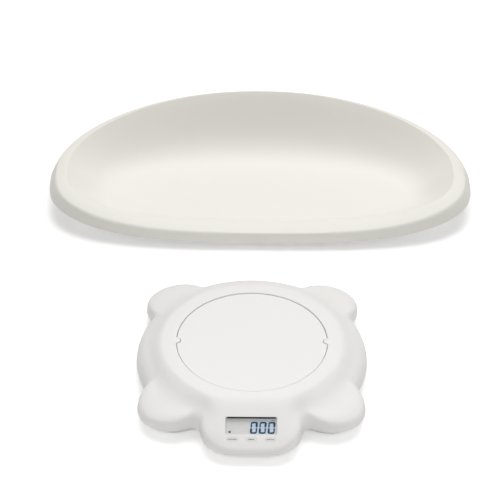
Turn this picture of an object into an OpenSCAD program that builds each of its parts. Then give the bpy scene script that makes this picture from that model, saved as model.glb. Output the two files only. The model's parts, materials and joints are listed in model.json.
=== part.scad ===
// Digital baby weighing scale: a lobed base with a round weighing platform and a tilted display,
// and the lying tray, which stands by itself on the floor behind the base.
// Millimetres, +Z up. The origin lies on the floor, at the middle of the whole set's footprint.

/* [Set on the floor] */
// Sideways place of the base, measured from the tray's centre line
base_x = -9; // [-40:1:40]
// Clear floor between the base's rear edge and the tray's front edge
set_gap = 93; // [60:1:160]

/* [Base outline] */
// Radius of the round dome in the middle of the base
dome_r = 135.5; // [128:0.5:145]
// Radius of the four corner lobes
lobe_r = 38; // [32:0.5:44]
// Sideways place of the front lobes' centres
lobe_front_x = 92.5; // [86:0.5:98]
// Sideways place of the rear lobes' centres
lobe_rear_x = 90; // [86:0.5:98]
// How far the front lobes' centres lie in front of the platform's centre
lobe_front_y = 87; // [80:0.5:92]
// How far the rear lobes' centres lie behind the platform's centre
lobe_rear_y = 91; // [84:0.5:98]
// Reach of the display head in front of the platform's centre
head_reach = 162.5; // [156:0.5:168]
// Half the width of the display head
head_half_w = 57; // [50:0.5:62]
// Radius of the display head's corners
head_corner_r = 35; // [24:0.5:42]
// Width over which neighbouring lobes flow into each other
lobe_blend = 11; // [4:0.5:18]

/* [Base heights] */
// Height of the feet below the bottom case
foot_h = 3; // [2:0.1:6]
// Height of the top shell's lower edge above the floor
shell_edge_z = 11; // [8:0.1:12]
// Height of the flat round the platform
plateau_z = 40.8; // [38:0.1:46]
// Slope of the tops of the corner lobes
lobe_slope = 15; // [6:0.5:18]
// How far the platform lies below the flat round it
platform_drop = 0.8; // [0.2:0.1:2]
// Radius at which the dome starts to fall to the lobes
dome_fall_r = 104; // [98:0.5:110]
// Width of the fall from the dome to the lobes
dome_fall_w = 22; // [16:0.5:30]
// Depth of the fall from the dome to the lobes
dome_fall_h = 8; // [4:0.5:12]
// Width of the rounding at the dome's edge
shoulder_w = 12; // [8:0.5:18]
// Width of the rounding at the edge of the lobes and of the display head
lobe_shoulder_w = 6; // [4:0.5:12]
// Fullness of the rounding at the shell's edge
shoulder_p = 2.3; // [1.8:0.1:3]
// Wall of the top shell
shell_wall = 2.6; // [2:0.1:3.2]

/* [Platform] */
// Radius of the round weighing platform
platform_r = 88; // [80:0.5:89]
// Gap between the platform and the shell
platform_gap = 0.6; // [0.4:0.1:1.2]
// Thickness of the platform's plate
platform_t = 3; // [2.4:0.1:4]
// Depth of the platform's downturned rim
platform_rim_h = 7; // [5:0.5:8]
// Radius of the shell's two key tabs
tab_r = 5; // [4:0.5:7]
// Thickness of the platform's downturned rim
platform_rim_t = 3; // [2.4:0.1:4]
// Gap between the carrier and the platform's rim
carrier_gap = 6; // [3:0.5:12]
// Thickness of the carrier's plate
carrier_t = 2.5; // [2:0.1:3.5]

/* [Load cell] */
// Length of the load cell's bar
cell_l = 80; // [70:1:90]
// Width and height of the load cell's bar
cell_w = 12.7; // [12:0.1:14]
// Height of the pad on the floor that carries the load cell's block
cell_pad_h = 1; // [0.6:0.1:2]
// Height of the block under the load cell's fixed end
cell_block_h = 3; // [2.4:0.1:4]
// Height of the carrier's seat on the load cell's free end
cell_seat_h = 3; // [2.5:0.1:3.5]
// Radius of the load cell's screws
cell_screw_r = 2; // [1.5:0.1:2.5]
// Radius of the load cell's cable
cable_r = 1.25; // [1:0.05:1.6]

/* [Display] */
// Distance of the display's centre in front of the platform's centre
display_y = 132.6; // [131:0.1:136]
// Height of the display's centre
display_z = 28.8; // [27:0.1:30]
// Tilt of the display towards its reader
display_tilt = 21.8; // [18:0.1:25]
// Width of the display window
window_w = 58; // [50:0.5:60]
// Depth of the display window along the slope
window_d = 21.6; // [18:0.1:22]
// Thickness of the clear lens
lens_t = 1; // [0.8:0.1:1.4]
// Thickness of the liquid crystal glass
lcd_t = 2.2; // [1.8:0.1:2.6]
// Thickness of the backlight plate
backlight_t = 2; // [1.5:0.1:2.4]
// Thickness of the circuit board
board_t = 1.6; // [1.2:0.1:2]

/* [Keys] */
// Distance between neighbouring keys
key_pitch = 21.3; // [18:0.1:23]
// Length of a key
key_w = 12; // [9:0.1:14]
// Width of a key
key_d = 4.2; // [3.6:0.1:4.6]
// Distance of the keys down the slope from the display's centre
key_v = 17.1; // [16.2:0.1:17.6]
// Travel of a key
key_travel = 0.5; // [0.3:0.05:0.8]
// Gap round a key
key_gap = 0.25; // [0.15:0.05:0.4]

/* [Bottom case] */
// How far the bottom case stands back from the shell's edge
case_inset = 9; // [8:0.5:14]
// Thickness of the bottom case
case_t = 2.4; // [2:0.1:3]
// Radius of a rubber foot
foot_r = 13; // [9:0.5:15]
// Depth of a foot's recess
foot_recess = 1.2; // [0.6:0.1:1.6]
// Radius of the circle on which the case screws lie
screw_circle_r = 100; // [97:0.5:101]
// Radius of a case screw's thread
screw_r = 1.5; // [1.2:0.1:1.8]
// Height of the joint between the screw posts of the two halves
post_joint_z = 11; // [9.5:0.1:14]

/* [Batteries] */
// Radius of a cell
battery_r = 5.25; // [5:0.05:5.5]
// Length of a cell
battery_l = 44.5; // [43:0.1:46]
// Distance between neighbouring cells
battery_pitch = 11.5; // [11:0.1:12.5]
// How far the cells' row lies behind the platform's centre
battery_y = 94; // [90:0.5:97]
// Half the width of the battery door
door_half_w = 30; // [29:0.5:33]
// How far the door's front edge lies behind the platform's centre
door_y = 72; // [68:0.5:74]

/* [Tray] */
// Length of the tray
tray_l = 550; // [500:1:580]
// Reach of the tray's front edge in front of its widest line
tray_front = 115; // [95:1:125]
// Reach of the tray's rear edge behind its widest line
tray_rear = 153; // [140:1:170]
// Fullness of the outline's front half
tray_front_n = 3.1; // [2:0.05:3.6]
// Fullness of the outline's rear half
tray_rear_n = 2.1; // [2:0.05:2.6]
// Height of the rim at the front
rim_front_z = 21.5; // [19:0.5:28]
// Height of the rim at the two ends
rim_end_z = 42; // [34:0.5:46]
// Height of the rim at the rear
rim_rear_z = 71.5; // [66:0.5:82]
// Height of the bowl's floor
bowl_z = 14; // [13:0.1:16]
// Wall of the tray
tray_wall = 3; // [2.4:0.1:3.4]
// How far the skirt flares out below the rim at the front, at the ends and at the rear
skirt_flare = [4, 8, 9];
// Width of the flat rim at the front, at the ends and at the rear
rim_w = [27, 17, 6];
// Run of the bowl's wall at the front, at the ends and at the rear
wall_run = [15, 62, 88];
// Height of the skirt at the front, at the ends and at the rear
skirt_h = [13, 17.5, 17];

/* [Tray foot] */
// How far the foot ring's centre lies behind the tray's widest line
ring_y = 6; // [0:0.5:12]
// Radius of the middle of the foot ring
ring_r = 76; // [66:0.5:78]
// Width of the foot ring's sole
ring_sole_w = 16; // [12:0.5:18]
// Thickness of the foot ring's sole and web
ring_t = 2.8; // [2:0.1:3.6]
// Radius of a rubber pad under the tray
pad_r = 6; // [4:0.5:6.5]
// Height of a pad below the foot ring
pad_h = 1.2; // [0.6:0.1:2]

/* [Hidden] */

$fn = 64;
eps = 0.01;
seat_gap = 0.3;
bolt_gap = 0.1;

// Derived heights of the base
case_top_z = foot_h + case_t;
rim_flange_z = shell_edge_z + 0.2;
rim_flange_h = 2.2;
flange_gap = 0.8;
platform_z = plateau_z - platform_drop;
plate_under_z = platform_z - platform_t;
opening_r = platform_r + platform_gap;
lip_r = opening_r + shell_wall;
lip_z = platform_z - platform_rim_h - 1;
carrier_r = platform_r - platform_rim_t - carrier_gap;
fixed_screw_x = [-35, -20];
free_screw_x = [20, 35];
flex_x = 6.5;
flex_r = 4.6;
cell_z = case_top_z + cell_pad_h + cell_block_h;
cell_top_z = cell_z + cell_w;
carrier_z = cell_top_z + cell_seat_h;
head_arc_y = head_reach - head_corner_r;
head_arc_x = head_half_w - head_corner_r;
shoulder_ring_r = 108;
head_flat_x = 34;
head_fade_w = 22;
head_rise_y = 75;
head_rise_w = 26;
slope_blend = 4;
post_r = 4;
case_post_r = 4.5;
post_bore_h = 14;
disc_boss_r = 4;
disc_ease = 0.5;
notch_wall = 2.4;
carrier_boss_r = 7;
light_hole_r = 7;
cell_seat_l = 26;
cell_block_l = 28;
cell_block_edge = 1;
cell_pad_l = 30;
cell_pad_edge = 2;
carrier_rim_t = 2.4;
carrier_rib_t = 2;
gauge_size = [6, 5, 0.4];
// Ribs on the case's floor: place behind the platform's centre, and half length
floor_ribs = [[-76, 44], [-44, 44], [-12, 88], [12, 88], [44, 44]];
rib_t = 2;
// Depths of the wells in the case's underside that take the screws' heads
case_well_h = 2.2;
cell_well_h = 1.2;

// Derived depths below the shell's outer face, measured square to the display
shell_depth = shell_wall * cos(display_tilt);
lens_glue = 0.05;
lens_depth = shell_depth + lens_glue + lens_t;
lcd_depth = lens_depth + 0.2 + lcd_t;
backlight_depth = lcd_depth + backlight_t;
board_depth = backlight_depth + 1;
window_corner = 1.6;
cut_down = 6;
cut_up = 4;
lens_lap = 1.7;
lcd_lap = 3;
strip_t = 2;
chip_size = [10, 10, 1.6];
driver_size = [5, 4, 1.2];
can_r = 2.5;
can_h = 3;
seal_w = 1;
seal_fit = 0.05;
seal_drop = 0.4;
board_w = 76;
board_up = 14.5;
board_down = 20.5;
board_corner = 6.5;
board_post_x = 34.5;
board_post_v = [8, -12];
board_post_r = 2.6;
board_screw_r = 1;
board_bore_h = 5;
switch_w = 5.2;
switch_h = 2.4;
plunger_r = 1.5;
plunger_h = 0.9;
plunger_depth = board_depth - switch_h - plunger_h;
key_stem_r = 1.4;
key_flange_w = 0.9;
flange_t = 1;
board_under = board_depth + board_t;
wire_v = 6;

// Derived sizes of the battery bay
bay_w = battery_l + 9;
bay_d = 3 * battery_pitch + 1.5;
bay_wall = 1.6;
nub_r = 1.8;
nub_h = 1.2;
contact_r = 4.4;
contact_t = 0.5;
spring_r1 = 3.6;
spring_r2 = 2;
dimple_r = 1.6;
bay_outer_x = door_half_w + 3.4;
door_ledge = 1.2;
door_tongue = 2.4;
door_groove = 2.8;
battery_z = case_top_z + seat_gap + 0.4 + battery_r;

// Derived places of the set
tray_half_l = tray_l / 2;
set_depth = head_reach + dome_r + set_gap + tray_front + tray_rear;
base_y = head_reach - set_depth / 2;
tray_y = set_depth / 2 - tray_rear;

// Screws: thread length, head radius and head height
case_screw_l = 16;
disc_screw_l = 10;
head_r = 2.9;
head_h = 1.8;
cell_lower_screw_l = 16;
cell_upper_screw_l = 14;
cell_head_r = 3.8;
board_screw_l = 6;
board_head_r = 2;
board_head_h = 1.2;

case_screw_angles = [0, 45, 135, 180, 228, 312];
disc_screw_r = 56;
disc_screw_angles = [45, 135, 225, 315];
pad_angles = [45, 135, 225, 315];
pad_fit = 0.15;
label_w = 62;
label_d = 30;
label_y = -72;
label_t = 0.2;
pad_recess = 0.8;
gusset_t = 2;
web_clear = 0.6;

abs_white = [0.93, 0.93, 0.92];
tray_white = [0.94, 0.94, 0.91];
case_white = [0.86, 0.86, 0.85];
steel = [0.72, 0.73, 0.75];
aluminium = [0.80, 0.81, 0.83];
rubber = [0.16, 0.16, 0.17];
board_green = [0.10, 0.36, 0.22];
brass = [0.78, 0.66, 0.36];

module place_base() translate([base_x, base_y, 0]) children();
module place_tray() translate([0, tray_y, 0]) children();
module place_display() {
    place_base() translate([0, -display_y, display_z]) rotate([display_tilt, 0, 0]) children();
}

// ---- Curves shared by the housings -------------------------------------------------------

function smooth(t) = let(u = min(1, max(0, t))) u * u * (3 - 2 * u);
function mix(a, b, t) = a + (b - a) * t;
function blend_max(a, b, k) = let(h = max(k - abs(a - b), 0) / k) max(a, b) + h * h * k / 4;
function blend_min(a, b, k) = -blend_max(-a, -b, k);
// Quarter round of a given fullness: 0 at the edge, 1 where the round ends
function quarter(t, p) = pow(1 - pow(1 - min(1, max(0, t)), p), 1 / p);

// Far side of a circle, seen from the platform's centre along one angle, or 0 where it is missed
function circle_reach(cx, cy, r, a) =
    let(along = cx * cos(a) + cy * sin(a), across = cy * cos(a) - cx * sin(a))
    abs(across) < r && along > 0 ? along + sqrt(r * r - across * across) : 0;

// Display head: a straight front edge between two round corners
function head_reach_at(a) =
    let(front = sin(a) < -0.5 ? -head_reach / sin(a) : 0)
    abs(front * cos(a)) < head_arc_x ? front
        : circle_reach(head_arc_x * sign(cos(a)), -head_arc_y, head_corner_r, a);

function outline_r(a) =
    let(
        front_lobe = max([for (s = [-1, 1]) circle_reach(s * lobe_front_x, -lobe_front_y, lobe_r, a)]),
        rear_lobe = max([for (s = [-1, 1]) circle_reach(s * lobe_rear_x, lobe_rear_y, lobe_r, a)]),
        lobes = max(front_lobe, rear_lobe),
        head = head_reach_at(a)
    )
    blend_max(blend_max(dome_r, lobes, lobe_blend), head, lobe_blend);

// A slope that starts softly: 0 up to x = 0, then rising ever closer to a straight line
function soft_ramp(x, k) = x <= 0 ? 0 : x * x / (x + k);

// Height of the shell's body, before its edge is rounded: a dome that falls to the sloping lobes,
// and in front the display's slope, whose raised middle fades into the lobes at its two sides
function body_z(x, y) =
    let(
        out = norm([x, y]) - dome_fall_r,
        dome = plateau_z - dome_fall_h * smooth(out / dome_fall_w)
            - tan(lobe_slope) * soft_ramp(out, dome_fall_w),
        slope = blend_min(plateau_z, display_z + (y + display_y) * tan(display_tilt), slope_blend),
        raised = smooth((-y - head_rise_y) / head_rise_w)
            * (1 - smooth((abs(x) - head_flat_x) / head_fade_w))
    )
    slope < dome ? slope : mix(dome, slope, raised);

// Width of the edge's rounding: narrow where a lobe or the display head reaches out of the dome
function shoulder_at(a) =
    mix(shoulder_w, lobe_shoulder_w, smooth((outline_r(a) - dome_r) / lobe_blend));

// One point of the shell's surface: a is the angle, u runs from 0 at the opening to 1 at the
// shoulder ring, to 2 at the start of the rounding and to 3 at the edge, and wall is the depth
// below the outer face
function shell_point(a, u, wall) =
    let(
        out = outline_r(a) - wall,
        w = shoulder_at(a),
        r = u <= 1 ? mix(lip_r, shoulder_ring_r, u)
            : u <= 2 ? mix(shoulder_ring_r, out - w, u - 1)
            : out - w * (1 - pow(sin(90 * (u - 2)), 2 / shoulder_p)),
        top = body_z(r * cos(a), r * sin(a)) - wall,
        z = mix(shell_edge_z, top, quarter((out - r) / w, shoulder_p))
    )
    [r * cos(a), r * sin(a), z];

// The opening's edge, with a round tab at each side that keys the platform
function opening_at(a) =
    let(off = asin(abs(sin(a))), across = opening_r * sin(off))
    across < tab_r ? opening_r * cos(off) - sqrt(tab_r * tab_r - across * across) : opening_r;

function polar(r, a, z) = [r * cos(a), r * sin(a), z];

// Angles of the shell's sections: close together on the tabs, lobes and corners. The right side
// runs from the front to the rear, and the left side mirrors it
right_angles = [-90, -86, -82.5, -80, -77.5, -75, -72.5, -70, -67.5, -65.5, -63.5, -61.5, -59.5,
    -57, -54.5, -52, -49, -46, -43, -40, -37, -34, -31, -28.5, -26.5, -24.5, -22.5, -20, -16.5, -12,
    -7, -3.6, -3.2, -2.8, -2.2, -1.4, 0, 1.4, 2.2, 2.8, 3.2, 3.6, 7, 12, 16.5, 20, 23, 25.5, 27.5,
    29.5, 31.5, 34, 37, 40, 43, 46, 49, 52, 55, 57.5, 59.5, 61.5, 63.5, 66, 69, 73, 78, 84, 90];
shell_angles = concat(right_angles,
    [for (i = [len(right_angles) - 2 : -1 : 1]) 180 - right_angles[i]]);
outer_steps = [0, 0.25, 0.5, 0.75, 1, 1.2, 1.4, 1.6, 1.8, 2, 2.25, 2.45, 2.62, 2.77, 2.9, 3];
inner_steps = [3, 2.8, 2.5, 2.25, 2, 1.66, 1.33, 1, 0.5, 0];

function shell_profile(a) = concat(
    [polar(opening_at(a), a, lip_z), polar(opening_at(a), a, plateau_z - 0.6),
     polar(opening_at(a) + 0.6, a, plateau_z)],
    [for (u = outer_steps) shell_point(a, u, 0)],
    [for (u = inner_steps) shell_point(a, u, shell_wall)],
    [polar(lip_r, a, lip_z)]);

// Skin of a body whose rings close on themselves, from a list of equal rings. Each quad is cut
// along its shorter diagonal
function quad_faces(p, a, b, c, d) =
    norm(p[a] - p[c]) < norm(p[b] - p[d]) ? [[a, b, c], [a, c, d]] : [[a, b, d], [b, c, d]];
function loop_faces(p, n, m) = [for (i = [0 : n - 1]) for (j = [0 : m - 1])
    let(i2 = (i + 1) % n, j2 = (j + 1) % m)
    each quad_faces(p, i * m + j, i2 * m + j, i2 * m + j2, i * m + j2)];

// ---- Top shell -----------------------------------------------------------------------------

module rounded_slot(w, d, r) {
    for (x = [-1, 1], y = [-1, 1])
        translate([x * (w / 2 - r), y * (d / 2 - r)]) circle(r);
    square([w - 2 * r, d], center = true);
    square([w, d - 2 * r], center = true);
}

module pill(w, d) {
    for (x = [-1, 1]) translate([x * (w - d) / 2, 0]) circle(d / 2);
    square([w - d, d], center = true);
}

module shell_skin() {
    rings = [for (a = shell_angles) shell_profile(a)];
    points = [for (ring = rings) each ring];
    polyhedron(points, loop_faces(points, len(rings), len(rings[0])), convexity = 10);
}

module screw_post(top_z) {
    difference() {
        translate([0, 0, post_joint_z]) cylinder(r = post_r, h = top_z - post_joint_z);
        translate([0, 0, post_joint_z - 1]) cylinder(r = screw_r + bolt_gap, h = post_bore_h);
    }
}

module board_post() {
    difference() {
        translate([0, 0, -board_depth]) cylinder(r = board_post_r, h = board_depth - shell_wall / 2);
        translate([0, 0, -board_depth - 1]) cylinder(r = board_screw_r + bolt_gap, h = board_bore_h);
    }
}

module top_shell() {
    color(abs_white) {
        difference() {
            union() {
                place_base() shell_skin();
                place_base() for (a = case_screw_angles)
                    rotate(a) translate([screw_circle_r, 0, 0])
                        screw_post(body_z((screw_circle_r + post_r) * cos(a),
                            (screw_circle_r + post_r) * sin(a)) - shell_wall / 2);
                place_display() for (x = [-1, 1], v = board_post_v)
                    translate([x * board_post_x, v, 0]) board_post();
            }
            place_display() translate([0, 0, -cut_down]) linear_extrude(cut_down + cut_up)
                rounded_slot(window_w, window_d, window_corner);
            place_display() for (i = [-1, 0, 1])
                translate([i * key_pitch, -key_v, -cut_down]) linear_extrude(cut_down + cut_up)
                    pill(key_w + 2 * key_gap, key_d + 2 * key_gap);
        }
    }
}

// ---- Bottom case ---------------------------------------------------------------------------

// Outline of the case, with its corners on the same sections as the shell's
function case_outline(inset) = [for (a = shell_angles)
    let(r = outline_r(a) - inset) [r * cos(a), r * sin(a)]];

module bottom_case() {
    wall = case_t;
    flange_inset = shell_wall + flange_gap;
    ledge_z = foot_h + door_ledge;
    rib_top = case_t + 3;
    color(case_white) place_base() difference() {
        union() {
            translate([0, 0, foot_h]) linear_extrude(case_t) polygon(case_outline(case_inset));
            translate([0, 0, foot_h]) linear_extrude(rim_flange_z + rim_flange_h - foot_h)
                difference() {
                    polygon(case_outline(case_inset));
                    polygon(case_outline(case_inset + wall));
                }
            translate([0, 0, rim_flange_z]) linear_extrude(rim_flange_h) difference() {
                polygon(case_outline(flange_inset));
                polygon(case_outline(case_inset + wall));
            }
            for (a = case_screw_angles) rotate(a) translate([screw_circle_r, 0, foot_h])
                cylinder(r = case_post_r, h = post_joint_z - foot_h);
            // Stiffening ribs on the floor
            for (rib = floor_ribs) translate([-rib[1], rib[0] - rib_t / 2, foot_h + 1])
                cube([2 * rib[1], rib_t, rib_top]);
            // Pad that carries the load cell's block
            translate([-cell_l / 2 - cell_pad_edge, -cell_w / 2 - cell_pad_edge, foot_h + 1])
                cube([cell_pad_l, cell_w + 2 * cell_pad_edge, case_top_z + cell_pad_h - foot_h - 1]);
            battery_bay_walls();
        }
        for (a = case_screw_angles) rotate(a) translate([screw_circle_r, 0, 0]) {
            cylinder(r = screw_r + bolt_gap, h = 30);
            cylinder(r = head_r + seat_gap, h = foot_h + case_well_h);
        }
        for (p = foot_places()) translate([p[0], p[1], 0])
            cylinder(r = foot_r + 0.2, h = foot_h + foot_recess);
        // Doorway, with a ledge at each side that carries the door
        translate([-door_half_w - seat_gap, door_y, 0])
            cube([2 * (door_half_w + seat_gap), dome_r, case_top_z + seat_gap]);
        translate([-door_half_w - door_groove, door_y, ledge_z])
            cube([2 * (door_half_w + door_groove), dome_r, case_top_z + seat_gap - ledge_z]);
        for (x = fixed_screw_x) translate([x, 0, 0]) {
            cylinder(r = cell_screw_r + bolt_gap, h = 30);
            cylinder(r = cell_head_r + 0.4, h = foot_h + cell_well_h);
        }
    }
}

// Housing of the cells: outer walls on the floor beside the doorway, a roof, and inner walls that
// hang from the roof down to the door
module battery_bay_walls() {
    front_y = door_y - bay_wall;
    rear_y = battery_y + bay_d / 2;
    roof_z = battery_z + battery_r + 0.5;
    hang_z = case_top_z + 0.5;
    outer_w = 2 * (bay_outer_x + bay_wall);
    place_z = case_top_z - eps;
    for (s = [-1, 1]) {
        translate([s * (bay_outer_x + bay_wall / 2) - bay_wall / 2, front_y, place_z])
            cube([bay_wall, rear_y + bay_wall - front_y, roof_z + bay_wall - place_z]);
        translate([s * (bay_w / 2 + bay_wall / 2) - bay_wall / 2, door_y, hang_z])
            cube([bay_wall, rear_y - door_y, roof_z - hang_z + eps]);
    }
    translate([-outer_w / 2, front_y, place_z]) cube([outer_w, bay_wall, roof_z + bay_wall - place_z]);
    translate([-outer_w / 2, rear_y, hang_z]) cube([outer_w, bay_wall, roof_z + bay_wall - hang_z]);
    translate([-outer_w / 2, front_y, roof_z]) cube([outer_w, rear_y + bay_wall - front_y, bay_wall]);
}

function foot_places() = [[-lobe_front_x, -lobe_front_y], [lobe_front_x, -lobe_front_y],
    [-lobe_rear_x, lobe_rear_y], [lobe_rear_x, lobe_rear_y]];

module foot(i) {
    p = foot_places()[i];
    top = foot_h + foot_recess;
    color(rubber) place_base() translate([p[0], p[1], 0]) rotate_extrude()
        polygon([[0, 0.6], [foot_r - 5, 0.6], [foot_r - 4.4, 0], [foot_r - 1, 0], [foot_r, 1],
            [foot_r, top], [0, top]]);
}
module foot_front_left() foot(0);
module foot_front_right() foot(1);
module foot_rear_left() foot(2);
module foot_rear_right() foot(3);

// Pan-head screw that stands on its head, with a cross recess in the head
module pan_screw(r, head_r, head_h, length) {
    slot_w = 0.28 * head_r;
    difference() {
        rotate_extrude() polygon([[0, 0], [head_r - 0.4, 0], [head_r, 0.5], [head_r, head_h],
            [r, head_h], [r, length - r], [0.3 * r, length], [0, length]]);
        for (turn = [0, 90]) rotate(turn) translate([-head_r / 2, -slot_w / 2, -eps])
            cube([head_r, slot_w, head_h / 2]);
    }
}

// Blank rating label, stuck to the underside
module rating_label() {
    color(steel) place_base() translate([-label_w / 2, label_y, foot_h - label_t])
        cube([label_w, label_d, label_t]);
}

module case_screws() {
    color(steel) place_base() for (a = case_screw_angles) rotate(a)
        translate([screw_circle_r, 0, foot_h + case_well_h - head_h])
            pan_screw(screw_r, head_r, head_h, case_screw_l);
}

// ---- Platform, carrier and load cell --------------------------------------------------------

module platform_disc() {
    notch_r = tab_r + platform_gap;
    rim_z = platform_z - platform_rim_h;
    color(abs_white) place_base() difference() {
        union() {
            rotate_extrude() polygon([[0, plate_under_z], [platform_r - platform_rim_t, plate_under_z],
                [platform_r - platform_rim_t, rim_z], [platform_r, rim_z],
                [platform_r, platform_z - disc_ease], [platform_r - disc_ease, platform_z],
                [0, platform_z]]);
            for (a = disc_screw_angles) rotate(a) translate([disc_screw_r, 0, carrier_z + carrier_t])
                cylinder(r = disc_boss_r, h = plate_under_z - carrier_z - carrier_t + eps);
            // Walls behind the notches close the platform's rim
            for (s = [-1, 1]) intersection() {
                translate([s * opening_r, 0, rim_z])
                    cylinder(r = notch_r + notch_wall, h = platform_rim_h - 1);
                translate([0, 0, rim_z]) cylinder(r = platform_r - 1, h = platform_rim_h - 1);
            }
        }
        for (s = [-1, 1]) translate([s * opening_r, 0, rim_z - 1])
            cylinder(r = notch_r, h = platform_rim_h + 2);
        for (a = disc_screw_angles) rotate(a) translate([disc_screw_r, 0, carrier_z])
            cylinder(r = screw_r + bolt_gap, h = plate_under_z - carrier_z - 1);
    }
}

module platform_carrier() {
    rib_h = plate_under_z - carrier_z;
    color(aluminium) place_base() difference() {
        union() {
            translate([0, 0, carrier_z]) cylinder(r = carrier_r, h = carrier_t);
            translate([0, 0, carrier_z]) difference() {
                cylinder(r = carrier_r, h = rib_h);
                translate([0, 0, -1]) cylinder(r = carrier_r - carrier_rim_t, h = rib_h + 2);
            }
            for (a = [0 : 30 : 150]) rotate(a)
                translate([-carrier_r + 1, -carrier_rib_t / 2, carrier_z])
                    cube([2 * carrier_r - 2, carrier_rib_t, rib_h]);
            translate([cell_l / 2 - cell_seat_l, -cell_w / 2, cell_top_z])
                cube([cell_seat_l, cell_w, cell_seat_h + carrier_t]);
            for (x = free_screw_x) translate([x, 0, carrier_z])
                cylinder(r = carrier_boss_r, h = rib_h - 3);
        }
        for (x = free_screw_x) translate([x, 0, 0]) {
            cylinder(r = cell_screw_r + bolt_gap, h = 60);
            translate([0, 0, carrier_z + carrier_t]) cylinder(r = cell_head_r + 0.6, h = rib_h);
        }
        for (a = disc_screw_angles) rotate(a) translate([disc_screw_r, 0, 0]) {
            cylinder(r = screw_r + bolt_gap, h = 60);
            translate([0, 0, carrier_z + carrier_t]) cylinder(r = disc_boss_r + bolt_gap, h = rib_h);
        }
        // Lightening holes between the ribs
        for (a = [15 : 30 : 345]) rotate(a) translate([carrier_r - 2 * light_hole_r, 0, carrier_z - 1])
            cylinder(r = light_hole_r, h = rib_h);
    }
}

module disc_screws() {
    color(steel) place_base() for (a = disc_screw_angles) rotate(a)
        translate([disc_screw_r, 0, carrier_z - head_h])
            pan_screw(screw_r, head_r, head_h, disc_screw_l);
}

module load_cell() {
    color(aluminium) place_base() translate([0, 0, cell_z]) difference() {
        translate([-cell_l / 2, -cell_w / 2, 0]) cube([cell_l, cell_w, cell_w]);
        for (x = [-flex_x, flex_x]) translate([x, 0, cell_w / 2]) rotate([90, 0, 0])
            cylinder(r = flex_r, h = cell_w + 2, center = true);
        translate([0, 0, cell_w / 2]) cube([2 * flex_x, cell_w + 2, 3], center = true);
        for (x = concat(fixed_screw_x, free_screw_x)) translate([x, 0, -1])
            cylinder(r = cell_screw_r + bolt_gap, h = cell_w + 2);
    }
}

module load_cell_block() {
    color(case_white) place_base() translate([0, 0, case_top_z + cell_pad_h]) difference() {
        translate([-cell_l / 2 - cell_block_edge, -cell_w / 2 - cell_block_edge, 0])
            cube([cell_block_l, cell_w + 2 * cell_block_edge, cell_block_h]);
        for (x = fixed_screw_x) translate([x, 0, -1]) cylinder(r = cell_screw_r + bolt_gap, h = 10);
    }
}

module load_cell_lower_screws() {
    color(steel) place_base() for (x = fixed_screw_x)
        translate([x, 0, foot_h + cell_well_h - head_h])
            pan_screw(cell_screw_r, cell_head_r, head_h, cell_lower_screw_l);
}

module load_cell_upper_screws() {
    top = carrier_z + carrier_t + head_h;
    color(steel) place_base() for (x = free_screw_x)
        translate([x, 0, top]) mirror([0, 0, 1])
            pan_screw(cell_screw_r, cell_head_r, head_h, cell_upper_screw_l);
}

module strain_gauges() {
    color(brass) place_base() for (x = [-flex_x, flex_x])
        translate([x - gauge_size[0] / 2, -gauge_size[1] / 2, cell_top_z]) cube(gauge_size);
}

// ---- Cables inside the base -------------------------------------------------------------------

function unit(v) = v / norm(v);
function route_dir(p, i) = unit(p[min(i + 1, len(p) - 1)] - p[max(i - 1, 0)]);

// Round tube along a list of points, with flat ends
module tube(points, r, sides = 8) {
    n = len(points);
    rings = [for (i = [0 : n - 1])
        let(d = route_dir(points, i),
            s = unit(cross(d, abs(d[2]) < 0.9 ? [0, 0, 1] : [0, 1, 0])), t = cross(s, d))
        [for (k = [0 : sides - 1])
            points[i] + r * (s * cos(360 * k / sides) + t * sin(360 * k / sides))]];
    polyhedron([for (ring = rings) each ring], concat(
        [[for (k = [0 : sides - 1]) sides - 1 - k]],
        [for (i = [0 : n - 2]) for (k = [0 : sides - 1])
            let(k2 = (k + 1) % sides, a = i * sides + k, b = i * sides + k2)
            each [[a, b, b + sides], [a, b + sides, a + sides]]],
        [[for (k = [0 : sides - 1]) (n - 1) * sides + k]]), convexity = 6);
}

// Smooth curve through hand-placed points
function curve_point(p, t) =
    let(n = len(p) - 1, i = min(floor(t), n - 1), f = t - i,
        a = p[max(i - 1, 0)], b = p[i], c = p[i + 1], d = p[min(i + 2, n)])
    0.5 * (2 * b + (c - a) * f + (2 * a - 5 * b + 4 * c - d) * f * f
        + (3 * b - a - 3 * c + d) * f * f * f);
function curve(p, steps) = [for (k = [0 : (len(p) - 1) * steps]) curve_point(p, k / steps)];

// Last points of a wire that ends square on the board's underside
function board_end(x) = [
    for (w = [5, 2, 0.05]) let(depth = board_under + w)
        [x, -display_y + wire_v * cos(display_tilt) + depth * sin(display_tilt),
            display_z + wire_v * sin(display_tilt) - depth * cos(display_tilt)]];

// The cable and the two leads run side by side over the case's floor, the cable on the inside
cable_route = concat([for (out = [0.05, 2, 4]) [-cell_l / 2 - out, 0, 16]],
    [[-51, -3, 14.6], [-55, -14, 12.4],
    [-55, -30, 9], [-53, -60, 8], [-49, -84, 8], [-36, -102, 8.4], [-18, -113, 11]], board_end(-8));
lead_x = -bay_outer_x - bay_wall - 0.05;
lead_routes = [
    concat([[lead_x, 82, 12], [-38.5, 81, 12], [-41.5, 72, 11.4], [-42, 50, 11.6], [-46, 24, 11.6],
        [-60, 10, 11.6], [-60, -16, 11.6], [-58.5, -34, 9.4], [-56.5, -70, 8], [-46, -100, 8],
        [-26, -116, 11]], board_end(-16)),
    concat([[lead_x, 86, 12], [-39.5, 85, 12], [-44, 76, 11.4], [-45, 52, 11.6], [-49, 26, 11.6],
        [-63.5, 12, 11.6], [-63.2, -16, 11.6], [-61.5, -34, 9.4], [-59.5, -72, 8], [-48, -103, 7.8],
        [-31, -120, 10]], board_end(-22))];

lead_r = 0.7;

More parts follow.
